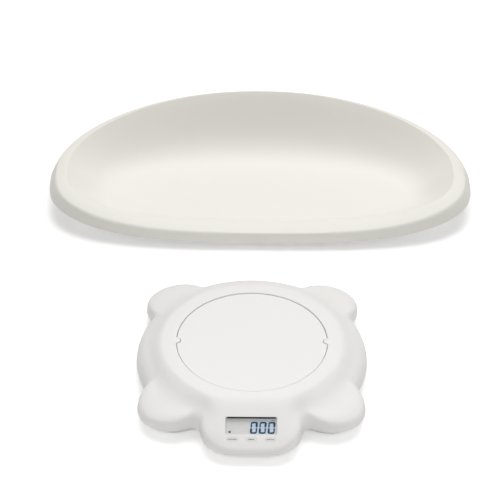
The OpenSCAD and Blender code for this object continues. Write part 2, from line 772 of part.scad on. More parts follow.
module load_cell_cable() {
    color([0.75, 0.75, 0.74]) place_base() tube(curve(cable_route, 3), cable_r);
}

module battery_leads() {
    color([0.7, 0.12, 0.1]) place_base() tube(curve(lead_routes[0], 2), lead_r);
    color([0.12, 0.12, 0.12]) place_base() tube(curve(lead_routes[1], 2), lead_r);
}

// ---- Display and keys -----------------------------------------------------------------------

// Dark foam strip that closes the joint between the lens and the window's rear edge
module window_seal() {
    color(rubber) place_display()
        translate([0, (window_d - seal_w) / 2 - seal_fit, -shell_depth - lens_glue])
            linear_extrude(shell_depth + lens_glue - seal_drop)
                pill(window_w - 2 * window_corner, seal_w);
}

module display_lens() {
    color([0.85, 0.9, 0.95, 0.4]) place_display() translate([0, 0, -lens_depth])
        linear_extrude(lens_t)
            rounded_slot(window_w + 2 * lens_lap, window_d + 2 * lens_lap, window_corner);
}

module lcd_panel() {
    color([0.78, 0.82, 0.84]) place_display() translate([0, 0, -lcd_depth])
        linear_extrude(lcd_t) square([window_w + lcd_lap, window_d + lcd_lap], center = true);
}

module lcd_backlight() {
    color([0.8, 0.9, 1]) place_display() translate([0, 0, -backlight_depth])
        linear_extrude(backlight_t - eps) square([window_w + 1, window_d - lcd_lap], center = true);
}

module lcd_contact_strips() {
    color([0.9, 0.45, 0.55]) place_display() for (s = [-1, 1])
        translate([-window_w / 2, (s * window_d - strip_t) / 2, -board_depth])
            cube([window_w, strip_t, board_depth - lcd_depth]);
}

module display_board() {
    color(board_green) place_display() translate([0, 0, -board_depth - board_t]) difference() {
        translate([-board_w / 2, -board_down, 0]) cube([board_w, board_down + board_up, board_t]);
        // The two front corners are cut off, because the case's flange curves round them
        for (s = [-1, 1]) translate([s * board_w / 2, -board_down, -1]) rotate(45)
            cube(board_corner * sqrt(2), center = true);
        for (x = [-1, 1], v = board_post_v) translate([x * board_post_x, v, -1])
            cylinder(r = board_screw_r + bolt_gap, h = board_t + 2);
    }
}

module board_parts() {
    under = -board_depth - board_t;
    color([0.1, 0.1, 0.1]) place_display() {
        translate([8, -4, under - chip_size[2]]) cube(chip_size);
        translate([-16, -8, under - driver_size[2]]) cube(driver_size);
        translate([24, 0, under - can_h]) cylinder(r = can_r, h = can_h);
    }
}

module board_screws() {
    color(steel) place_display() for (x = [-1, 1], v = board_post_v)
        translate([x * board_post_x, v, -board_depth - board_t - board_head_h])
            pan_screw(board_screw_r, board_head_r, board_head_h, board_screw_l);
}

module key_switches() {
    color([0.15, 0.15, 0.16]) place_display() for (i = [-1, 0, 1])
        translate([i * key_pitch, -key_v, -board_depth]) {
            translate([-switch_w / 2, -switch_w / 2, 0]) cube([switch_w, switch_w, switch_h]);
            cylinder(r = plunger_r, h = switch_h + plunger_h);
        }
}

module key(i) {
    flange_top = shell_depth + seat_gap;
    stem_bottom = plunger_depth - key_travel - 0.05;
    color(abs_white) place_display() translate([i * key_pitch, -key_v, 0]) {
        translate([0, 0, -flange_top - flange_t])
            linear_extrude(flange_top + flange_t) pill(key_w, key_d);
        // Flange, only on the rear half, because the shell's edge curves down in front of it
        translate([-key_w / 2 - key_flange_w, 0, -flange_top - flange_t])
            cube([key_w + 2 * key_flange_w, key_d / 2 + key_flange_w, flange_t]);
        translate([0, 0, -stem_bottom]) cylinder(r = key_stem_r, h = stem_bottom - flange_top);
    }
}
module key_left() key(-1);
module key_middle() key(0);
module key_right() key(1);

// ---- Batteries -------------------------------------------------------------------------------

module battery_cells() {
    color([0.75, 0.62, 0.35]) place_base() for (i = [-1, 0, 1])
        translate([-battery_l / 2, battery_y + i * battery_pitch, battery_z]) rotate([0, 90, 0]) {
            cylinder(r = battery_r, h = battery_l - nub_h);
            cylinder(r = nub_r, h = battery_l);
        }
}

module battery_springs() {
    color(steel) place_base() for (i = [-1, 0, 1])
        translate([-bay_w / 2, battery_y + i * battery_pitch, battery_z]) rotate([0, 90, 0]) {
            cylinder(r = contact_r, h = contact_t);
            cylinder(r1 = spring_r1, r2 = spring_r2, h = (bay_w - battery_l) / 2 - eps);
        }
}

module battery_plates() {
    color(steel) place_base() for (i = [-1, 0, 1])
        translate([bay_w / 2, battery_y + i * battery_pitch, battery_z]) rotate([0, -90, 0]) {
            cylinder(r = contact_r, h = contact_t);
            cylinder(r = dimple_r, h = (bay_w - battery_l) / 2);
        }
}

module battery_door() {
    tongue_w = door_half_w + door_tongue;
    top = case_top_z - 0.2;
    rear = outline_r(90) - case_inset;
    color(case_white) place_base() difference() {
        intersection() {
            union() {
                translate([-door_half_w, door_y + seat_gap, foot_h])
                    cube([2 * door_half_w, rear, top - foot_h]);
                translate([-tongue_w, door_y + seat_gap, foot_h + door_ledge])
                    cube([2 * tongue_w, rear, top - foot_h - door_ledge]);
            }
            linear_extrude(20) polygon(case_outline(case_inset));
        }
        // Grip grooves
        for (i = [0 : 3]) translate([-10, 104 + 4 * i, foot_h - 1]) cube([20, 1.5, 1.6]);
    }
}

// ---- Tray --------------------------------------------------------------------------------------

// Value that runs from the ends (s = 0) to the front (s = -1) or the rear (s = 1)
function around(v, s, p) = s < 0 ? mix(v[1], v[0], pow(-s, p)) : mix(v[1], v[2], pow(s, p));
function bend(c, p) = sign(c) * pow(abs(c), p);

// Point on the tray's outline, drawn in by an inset
function tray_point(t, inset, z) =
    let(front = sin(t) < 0, half_d = front ? tray_front : tray_rear,
        p = 2 / (front ? tray_front_n : tray_rear_n))
    [(tray_half_l - inset) * bend(cos(t), p), (half_d - inset) * bend(sin(t), p), z];

wall_steps = [0.12, 0.25, 0.4, 0.52, 0.64, 0.76, 0.88, 1];
under_steps = [0.2, 0.45, 0.72, 1];
wall_straight = 0.4;
floor_step = 0.45;

// Fall of the bowl's wall: straight down from 1 at the rim, then rounding out to 0 at the floor
function wall_fall(w) = w < wall_straight ? 1 - 2 * w / (1 + wall_straight)
    : pow(1 - w, 2) / (1 - wall_straight) / (1 + wall_straight);

// From the middle of the bowl, up its wall, over the rim, down the skirt and back underneath
function tray_profile(t) =
    let(
        s = sin(t),
        rim_z = around([rim_front_z, rim_end_z, rim_rear_z], s, 2),
        rw = around(rim_w, s, 1.2),
        run = around(wall_run, s, 1),
        sk = around(skirt_h, s, 1),
        flare = around(skirt_flare, s, 1),
        edge = flare + rw,
        top = rim_z - 1,
        under = tray_wall * 0.72
    )
    concat(
        [let(q = tray_point(t, edge + run, bowl_z))
            [q[0] * floor_step, mix(ring_y, q[1], floor_step), bowl_z]],
        [for (k = [len(wall_steps) - 1 : -1 : 0]) let(w = wall_steps[k])
            tray_point(t, edge + run * w, mix(bowl_z, top, wall_fall(w)))],
        [tray_point(t, edge, top), tray_point(t, edge - 2, rim_z + 0.3),
         tray_point(t, flare + 3, rim_z), tray_point(t, flare + 0.8, rim_z - 0.8),
         tray_point(t, flare - 0.6, rim_z - 2.6),
         tray_point(t, flare * 0.35, rim_z - sk * 0.62), tray_point(t, 0, rim_z - sk)],
        [tray_point(t, tray_wall * 0.8, rim_z - sk),
         tray_point(t, flare * 0.35 + tray_wall, rim_z - sk * 0.62),
         tray_point(t, flare + tray_wall, rim_z - tray_wall - 0.6),
         tray_point(t, edge - under, rim_z - tray_wall - 0.6)],
        [for (w = under_steps) tray_point(t, edge + run * w - (1 - w) * under - 1,
            mix(bowl_z - tray_wall, top - tray_wall, wall_fall(w)))]);

tray_sides = 104;

module tray_skin() {
    rings = [for (i = [0 : tray_sides - 1]) tray_profile(360 * (i + 0.5) / tray_sides)];
    m = len(rings[0]);
    top_pole = tray_sides * m;
    points = concat([for (ring = rings) each ring],
        [[0, ring_y, bowl_z], [0, ring_y, bowl_z - tray_wall]]);
    faces = [for (i = [0 : tray_sides - 1])
        let(i2 = (i + 1) % tray_sides)
        each concat(
            [for (j = [0 : m - 2]) let(a = i * m + j, b = i2 * m + j)
                each [[a, b + 1, a + 1], [a, b, b + 1]]],
            [[top_pole, i2 * m, i * m], [top_pole + 1, i * m + m - 1, i2 * m + m - 1]])];
    polyhedron(points, faces, convexity = 10);
}

module tray_shell() {
    color(tray_white) place_tray() tray_skin();
}

// Inset of the outline that runs through a point of the tray's rear half, found by halving
function inset_at(x, y, lo, hi, n) =
    let(mid = (lo + hi) / 2,
        out = pow(abs(x) / (tray_half_l - mid), tray_rear_n) + pow(y / (tray_rear - mid), tray_rear_n))
    n == 0 ? mid : out > 1 ? inset_at(x, y, lo, mid, n - 1) : inset_at(x, y, mid, hi, n - 1);

// Height of the tray's underside over a point, by the same steps as the tray's own skin
function under_z(x, y) =
    let(inset = inset_at(x, max(y, 1), 0, tray_rear - 2, 24),
        s = pow(max(y, 1) / (tray_rear - inset), tray_rear_n / 2),
        edge = around(skirt_flare, s, 1) + around(rim_w, s, 1.2),
        run = around(wall_run, s, 1),
        under = tray_wall * 0.72,
        w = (inset - edge + under + 1) / (run + under),
        top = around([rim_front_z, rim_end_z, rim_rear_z], s, 2) - 1 - tray_wall,
        fall = lookup(w, [for (k = under_steps) [k, wall_fall(k)]]))
    y < 1 ? bowl_z - tray_wall : mix(bowl_z - tray_wall, top, fall);

ring_sections = 36;

// Web of the foot ring, which rises behind to meet the slope of the bowl
module ring_web() {
    low = pad_h + ring_t / 2;
    points = [for (i = [0 : ring_sections - 1])
        let(a = 360 * i / ring_sections, ri = ring_r - ring_t / 2, ro = ring_r + ring_t / 2)
        each [polar(ri, a, low),
            polar(ri, a, under_z(ri * cos(a), ring_y + ri * sin(a)) - web_gap(a)),
            polar(ro, a, under_z(ro * cos(a), ring_y + ro * sin(a)) - web_gap(a)),
            polar(ro, a, low)]];
    polyhedron(points, loop_faces(points, ring_sections, 4), convexity = 6);
}
// Clearance over the web: none on the flat floor, a little where it follows the slope
function web_gap(a) = sin(a) > 0.3 ? web_clear : 0;

module tray_foot_ring() {
    under = bowl_z - tray_wall;
    color(tray_white) place_tray() translate([0, ring_y, 0]) difference() {
        union() {
            rotate_extrude() translate([ring_r - ring_sole_w / 2, pad_h]) square([ring_sole_w, ring_t]);
            ring_web();
            // Gussets between the sole and the web
            for (a = [0 : 30 : 330]) rotate(a)
                translate([ring_r - ring_sole_w / 2 + 1, -gusset_t / 2, pad_h])
                    cube([ring_sole_w - 2, gusset_t, under - pad_h]);
        }
        for (a = pad_angles) rotate(a) translate([ring_r, 0, 0])
            cylinder(r = pad_r + pad_fit, h = pad_h + pad_recess);
    }
}

module tray_pads() {
    color(rubber) place_tray() translate([0, ring_y, 0]) for (a = pad_angles) rotate(a)
        translate([ring_r, 0, 0]) cylinder(r = pad_r, h = pad_h + pad_recess);
}

top_shell();
bottom_case();
platform_disc();
platform_carrier();
disc_screws();
load_cell();
load_cell_block();
load_cell_lower_screws();
load_cell_upper_screws();
strain_gauges();
load_cell_cable();
window_seal();
display_lens();
lcd_panel();
lcd_backlight();
lcd_contact_strips();
display_board();
board_parts();
board_screws();
key_switches();
key_left();
key_middle();
key_right();
battery_cells();
battery_springs();
battery_plates();
battery_leads();
battery_door();
foot_front_left();
foot_front_right();
foot_rear_left();
foot_rear_right();
case_screws();
rating_label();
tray_shell();
tray_foot_ring();
tray_pads();
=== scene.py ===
"""Looks of the digital baby weighing scale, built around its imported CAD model.

The lobed base with its round platform and tilted display stands in front, and the lying tray stands
by itself behind it, on a white floor under a large soft light. Blender's lengths are in metres. The
sizes named here are in millimetres, and MM turns them into metres.
"""

import json
import math

import bpy
from mathutils import Matrix, Vector

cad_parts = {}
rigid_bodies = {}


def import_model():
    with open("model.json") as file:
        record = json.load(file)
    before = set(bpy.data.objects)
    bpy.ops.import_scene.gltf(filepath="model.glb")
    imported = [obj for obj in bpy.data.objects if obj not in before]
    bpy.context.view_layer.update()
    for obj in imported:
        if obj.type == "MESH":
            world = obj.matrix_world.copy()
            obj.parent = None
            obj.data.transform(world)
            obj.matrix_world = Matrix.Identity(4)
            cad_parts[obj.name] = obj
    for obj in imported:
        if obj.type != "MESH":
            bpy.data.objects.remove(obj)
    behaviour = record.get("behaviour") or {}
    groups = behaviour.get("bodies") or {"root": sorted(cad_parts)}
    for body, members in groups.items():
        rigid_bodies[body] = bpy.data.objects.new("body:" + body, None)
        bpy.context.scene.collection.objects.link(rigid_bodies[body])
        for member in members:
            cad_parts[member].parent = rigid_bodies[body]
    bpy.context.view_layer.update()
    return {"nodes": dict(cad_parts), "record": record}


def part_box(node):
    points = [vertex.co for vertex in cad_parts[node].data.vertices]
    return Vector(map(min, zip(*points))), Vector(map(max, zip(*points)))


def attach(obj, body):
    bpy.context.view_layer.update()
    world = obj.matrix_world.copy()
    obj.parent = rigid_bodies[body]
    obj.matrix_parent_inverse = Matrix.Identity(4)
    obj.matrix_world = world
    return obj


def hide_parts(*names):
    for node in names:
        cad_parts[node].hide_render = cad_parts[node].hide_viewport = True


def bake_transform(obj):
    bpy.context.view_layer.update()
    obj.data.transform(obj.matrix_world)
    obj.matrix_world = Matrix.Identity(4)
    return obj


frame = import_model()
nodes = frame["nodes"]
bpy.ops.object.select_all(action="DESELECT")

MM = 0.001

# Each CAD node's material slot and the body that carries it
SLOTS = {entry["node"]: entry["material_slot"] for entry in frame["record"]["subparts"]}
BODY_OF = {
    node: body
    for body, members in frame["record"]["behaviour"]["bodies"].items()
    for node in members
}


def middle_of(node):
    """The middle of a CAD node's box."""
    return sum(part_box(node), Vector()) / 2


# ---- Sizes ---------------------------------------------------------------------------------------

# Faces that meet at less than this many degrees are shaded as one smooth surface
SMOOTH_ANGLE = 32

# The display: its tilt, and places on it from the middle of the liquid crystal glass, with X to the
# right and Y up the slope
DISPLAY_TILT = math.radians(21.8)
DISPLAY_CENTRE = middle_of("lcd_panel")
LCD_HALF_THICKNESS = 1.1
DIGITS_MIDDLE = (12.8, -1.1)
DIGIT_WIDTH = 8.0
DIGIT_HEIGHT = 14.8
DIGIT_CORNER = 2.4
DIGIT_STROKE = 2.0
DIGIT_GAP = 1.1
DIGIT_SLANT = 1.2
DIGIT_PITCH = 9.9
# How far the glow behind the digits goes from their middle, across and up
GLOW_REACH = (16.5, 11.5)
POINTER = (-24.2, -6.5)
POINTER_RADIUS = 2.1875
POINTER_CORNER = 0.3
UNIT_MARKS = [(23.3, 8.0), (25.6, 8.0)]
UNIT_MARK_WIDTH = 1.5
UNIT_MARK_HEIGHT = 1.0
UNIT_MARK_CORNER = 0.25
INK_THICKNESS = 0.06

# The keys: how far their tops rise over the liquid crystal glass, their row and pitch, and for each
# key its place in the row and its bar's length and width. The bar's corners are a share of its width
KEY_RISE = 3.664
KEY_ROW = -17.1
KEY_PITCH = 21.3
KEY_BARS = {"key_left": (-1, 10.0, 1.1), "key_middle": (0, 7.0, 1.3), "key_right": (1, 8.4, 1.1)}
KEY_BAR_THICKNESS = 0.03
KEY_BAR_CORNER_SHARE = 0.45

# The battery bay
CELLS_LOW, CELLS_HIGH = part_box("battery_cells")
CELL_PITCH = 11.5
SPRING_WIRE = 0.6
SPRING_WIRE_SIDES = 8
SPRING_RADIUS = 3.1
SPRING_TURNS = 3
SPRING_STEPS = 20
SPRING_RISE = 1.3
SPRING_PLATE_RADIUS = 4.4
SPRING_PLATE_SIDES = 40
SPRING_PLATE_THICKNESS = 0.5
SPRING_PLATE_EDGE = 0.1
SPRING_SMOOTH_ANGLE = 50

# The rating label: where its pattern starts, and the bars that stand for its print
LABEL_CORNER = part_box("rating_label")[0]
LABEL_BAR_PITCH = 9
LABEL_ROW_PITCH = 3
# Bare film round each bar, so a bar shows 7 mm by 1 mm
LABEL_BARE_EDGE = 1

# The floor, in metres
FLOOR_SIZE = 14

# Camera and lens: its place in metres
CAMERA_PLACE = (-0.009, -1.91855, 1.5307)
CAMERA_TILT = math.radians(52.25)
CAMERA_YAW = math.radians(0.1)
CAMERA_ROLL = math.radians(0.4)
CAMERA_LENS_MM = 141.5
CAMERA_SENSOR_MM = 36


# ---- Helpers for materials -----------------------------------------------------------------------


def linear(code):
    """An sRGB hex colour as the linear values that a shader takes."""
    channels = [int(code[i : i + 2], 16) / 255 for i in (1, 3, 5)]
    return [c / 12.92 if c <= 0.04045 else ((c + 0.055) / 1.055) ** 2.4 for c in channels] + [1]


def add_node(tree, kind, values=None, links=None, **settings):
    """Adds a node with its settings, its sockets' values and the outputs that feed it."""
    node = tree.nodes.new(kind)
    for name, value in settings.items():
        setattr(node, name, value)
    for socket, value in (values or {}).items():
        node.inputs[socket].default_value = value
    for socket, source in (links or {}).items():
        tree.links.new(source, node.inputs[socket])
    return node


def new_material(name):
    """An empty material and its node tree."""
    material = bpy.data.materials.new(name)
    material.use_nodes = True
    material.node_tree.nodes.clear()
    return material, material.node_tree


def place_on_object(tree):
    """The place on the object, in metres, that its patterns go by."""
    return add_node(tree, "ShaderNodeTexCoord").outputs["Object"]


def show(tree, shader):
    """Makes a shader the surface of its material."""
    add_node(tree, "ShaderNodeOutputMaterial", links={"Surface": shader})


def principled(tree, values, links):
    """Ends a material with a Principled shader."""
    show(tree, add_node(tree, "ShaderNodeBsdfPrincipled", values, links).outputs["BSDF"])


def ramp(tree, source, stops, interpolation="LINEAR"):
    """A colour ramp through (place, hex colour) stops."""
    node = add_node(tree, "ShaderNodeValToRGB", links={"Fac": source})
    node.color_ramp.interpolation = interpolation
    elements = node.color_ramp.elements
    while len(elements) < len(stops):
        elements.new(0.5)
    for element, (place, code) in zip(elements, stops):
        element.position = place
        element.color = linear(code)
    return node.outputs["Color"]


def two_tones(tree, source, colours):
    """A soft change from the first colour to the second over the middle of a noise."""
    return ramp(tree, source, [(0.35, colours[0]), (0.65, colours[1])])


def noise(tree, place, size_mm, detail=2):
    """A noise whose spots are about size_mm across."""
    values = {"Scale": 1 / (size_mm * MM), "Detail": detail}
    return add_node(tree, "ShaderNodeTexNoise", values, {"Vector": place}).outputs["Fac"]


def spread_over(tree, source, to_low, to_high, from_low=0.0, from_high=1.0):
    """Maps a value's range onto another one."""
    values = {"From Min": from_low, "From Max": from_high, "To Min": to_low, "To Max": to_high}
    return add_node(tree, "ShaderNodeMapRange", values, {"Value": source}).outputs["Result"]


def drawn_out(tree, place, scale):
    """A place whose patterns run on along each axis where the scale is below 1."""
    return add_node(tree, "ShaderNodeMapping", {"Scale": scale}, {"Vector": place}).outputs["Vector"]


def seen_from(tree, place, **frame_values):
    """A place as it lies in a frame of its own, with its own location, rotation and scale."""
    values = {name.capitalize(): value for name, value in frame_values.items()}
    return add_node(
        tree, "ShaderNodeMapping", values, {"Vector": place}, vector_type="TEXTURE"
    ).outputs["Vector"]


def calculated(tree, operation, *terms):
    """One step of arithmetic on numbers and outputs of nodes."""
    values = {i: term for i, term in enumerate(terms) if isinstance(term, (int, float))}
    links = {i: term for i, term in enumerate(terms) if i not in values}
    return add_node(tree, "ShaderNodeMath", values, links, operation=operation).outputs["Value"]


def raised(tree, height, depth_mm, strength=1.0, invert=False):
    """A bump of a depth in millimetres."""
    values = {"Strength": strength, "Distance": depth_mm * MM}
    return add_node(
        tree, "ShaderNodeBump", values, {"Height": height}, invert=invert
    ).outputs["Normal"]


# ---- Materials -----------------------------------------------------------------------------------


def moulded_plastic(name, colours, roughness, grain_mm, grain_depth_mm, blotch_mm=60, ior=1.53):
    """Injection-moulded plastic: colours that drift a little over the part, and a fine grain."""
    material, tree = new_material(name)
    place = place_on_object(tree)
    drift = noise(tree, place, blotch_mm)
    principled(
        tree,
        {"IOR": ior},
        {
            "Base Color": two_tones(tree, drift, colours),
            "Roughness": spread_over(tree, drift, *roughness, 0.3, 0.7),
            "Normal": raised(tree, noise(tree, place, grain_mm, 3), grain_depth_mm),
        },
    )
    return material


def metal(name, colours, roughness, line_mm, stretch, depth_mm):
    """Metal with fine lines or grain. stretch is the pattern's scale along X, Y and Z."""
    material, tree = new_material(name)
    place = place_on_object(tree)
    lines = noise(tree, drawn_out(tree, place, stretch), line_mm, 4)
    principled(
        tree,
        {"Metallic": 1},
        {
            "Base Color": two_tones(tree, lines, colours),
            "Roughness": spread_over(tree, lines, *roughness, 0.3, 0.7),
            "Normal": raised(tree, lines, depth_mm),
        },
    )
    return material


def clear_acrylic():
    """Clear cast acrylic: it tints what lies behind it a little, and reflects more at low angles."""
    material, tree = new_material("Clear acrylic")
    place = place_on_object(tree)
    gloss = spread_over(tree, noise(tree, place, 9), 0.05, 0.12)
    through = add_node(tree, "ShaderNodeBsdfTransparent", {"Color": linear("#FAFBFC")})
    shine = add_node(tree, "ShaderNodeBsdfGlossy", links={"Roughness": gloss})
    facing = add_node(tree, "ShaderNodeLayerWeight", {"Blend": 0.5}).outputs["Facing"]
    share = spread_over(tree, calculated(tree, "POWER", facing, 5), 0.03, 0.7)
    both = add_node(
        tree,
        "ShaderNodeMixShader",
        links={0: share, 1: through.outputs["BSDF"], 2: shine.outputs["BSDF"]},
    )
    show(tree, both.outputs["Shader"])
    return material


def liquid_crystal():
    """Reflective liquid crystal glass: grey where it is dark, and a cold glow from the light guide
    that fades out round the digits. The glow is an emission of the glass: it stands for the
    backlight, and its strength is also painted light that lifts the shade cast by the window's
    walls."""
    material, tree = new_material("Liquid crystal glass with painted lift")
    place = place_on_object(tree)
    local = seen_from(tree, place, location=DISPLAY_CENTRE, rotation=(DISPLAY_TILT, 0, 0))
    centred = seen_from(
        tree,
        local,
        location=(DIGITS_MIDDLE[0] * MM, DIGITS_MIDDLE[1] * MM, 0),
        scale=(GLOW_REACH[0] * MM, GLOW_REACH[1] * MM, 1),
    )
    # Fourth powers of the two distances give the glow the digits' own oblong form
    split = add_node(tree, "ShaderNodeSeparateXYZ", links={"Vector": centred}).outputs
    across, up = [
        calculated(tree, "POWER", calculated(tree, "ABSOLUTE", split[axis]), 4)
        for axis in ("X", "Y")
    ]
    reach = calculated(tree, "ADD", across, up)
    colour = ramp(tree, reach, [(0.2, "#CEDCEB"), (1.0, "#E4E0DD")])
    # The polariser's streaks are finer than a pixel, so they are drawn at 0.8 mm
    streaks = noise(tree, drawn_out(tree, local, (0.04, 1, 1)), 0.8)
    # The emission is partly the backlight's glow and partly painted light that lifts the shade of
    # the window's walls off the glass
    principled(
        tree,
        {"IOR": 1.5, "Emission Strength": 0.14},
        {
            "Base Color": colour,
            "Emission Color": colour,
            "Roughness": spread_over(tree, streaks, 0.3, 0.4),
        },
    )
    return material


def banded_jacket():
    """Printed foil jacket of a cell: dark along most of its length, gold at the button's end, and
    bare steel at the two caps."""
    material, tree = new_material("Printed cell jacket")
    place = place_on_object(tree)
    along = add_node(tree, "ShaderNodeSeparateXYZ", links={"Vector": place}).outputs["X"]
    share = spread_over(tree, along, 0, 1, CELLS_LOW[0], CELLS_HIGH[0])
    bands = [(0.0, "#B5B8BC"), (0.02, "#24262B"), (0.62, "#B98F45"), (0.955, "#B5B8BC")]
    scuffs = noise(tree, place, 1.5, 3)
    principled(
        tree,
        {"Metallic": 0.7},
        {
            "Base Color": ramp(tree, share, bands, "CONSTANT"),
            "Roughness": spread_over(tree, scuffs, 0.22, 0.42),
        },
    )
    return material


def label_film():
    """Brushed silver film of the rating label, with rows of short grey bars in place of print."""
    material, tree = new_material("Silver label film")
    place = place_on_object(tree)
    rows = add_node(
        tree,
        "ShaderNodeTexBrick",
        {
            "Color1": linear("#55585C"),
            "Color2": linear("#7A7D81"),
            "Mortar": linear("#C3C6C9"),
            "Scale": 1,
            "Mortar Size": LABEL_BARE_EDGE * MM,
            "Mortar Smooth": 0.1,
            "Bias": 0,
            "Brick Width": LABEL_BAR_PITCH * MM,
            "Row Height": LABEL_ROW_PITCH * MM,
        },
        {"Vector": seen_from(tree, place, location=LABEL_CORNER)},
    ).outputs["Color"]
    brushed = noise(tree, drawn_out(tree, place, (0.04, 1, 1)), 0.5, 3)
    principled(
        tree,
        {"Metallic": 0.6},
        {"Base Color": rows, "Roughness": spread_over(tree, brushed, 0.3, 0.5)},
    )
    return material


def striped_silicone():
    """Elastomer contact strip: dark carbon layers between pale silicone ones, across its length."""
    material, tree = new_material("Striped contact silicone")
    place = place_on_object(tree)
    # The real layers are 0.1 mm apart, so they are drawn 1 mm apart
    layers = add_node(
        tree,
        "ShaderNodeTexWave",
        {"Scale": 1 / (3.2 * MM), "Distortion": 0.4},
        {"Vector": place},
        wave_type="BANDS",
        bands_direction="X",
    ).outputs["Fac"]
    principled(
        tree,
        {"IOR": 1.41, "Roughness": 0.55},
        {"Base Color": ramp(tree, layers, [(0.4, "#2A2628"), (0.6, "#C98A9A")])},
    )
    return material


def solder_mask():
    """Green solder mask with the paler copper tracks that show through it."""
    material, tree = new_material("Solder mask over copper")
    place = place_on_object(tree)
    tracks = add_node(
        tree,
        "ShaderNodeTexVoronoi",
        {"Scale": 1 / (4 * MM), "Randomness": 0.35},
        {"Vector": place},
        feature="DISTANCE_TO_EDGE",
        distance="CHEBYCHEV",
    ).outputs["Distance"]
    principled(
        tree,
        {"IOR": 1.55, "Roughness": 0.3},
        {
            "Base Color": ramp(tree, tracks, [(0.07, "#2C8A58"), (0.1, "#14573A")]),
            "Normal": raised(tree, tracks, 0.035, 0.6, invert=True),
        },
    )
    return material


def white_floor():
    """Studio floor: white paper that keeps the set's soft shadow, and clips to white elsewhere."""
    material, tree = new_material("White paper")
    paper = add_node(tree, "ShaderNodeBsdfDiffuse", {"Color": linear("#F7F7F7")}).outputs["BSDF"]
    glow = add_node(tree, "ShaderNodeEmission", {"Color": linear("#FFFFFF"), "Strength": 0.34})
    seen = add_node(tree, "ShaderNodeLightPath").outputs["Is Camera Ray"]
    lifted = add_node(tree, "ShaderNodeAddShader", links={0: paper, 1: glow.outputs["Emission"]})
    both = add_node(
        tree, "ShaderNodeMixShader", links={0: seen, 1: paper, 2: lifted.outputs["Shader"]}
    )
    show(tree, both.outputs["Shader"])
    return material


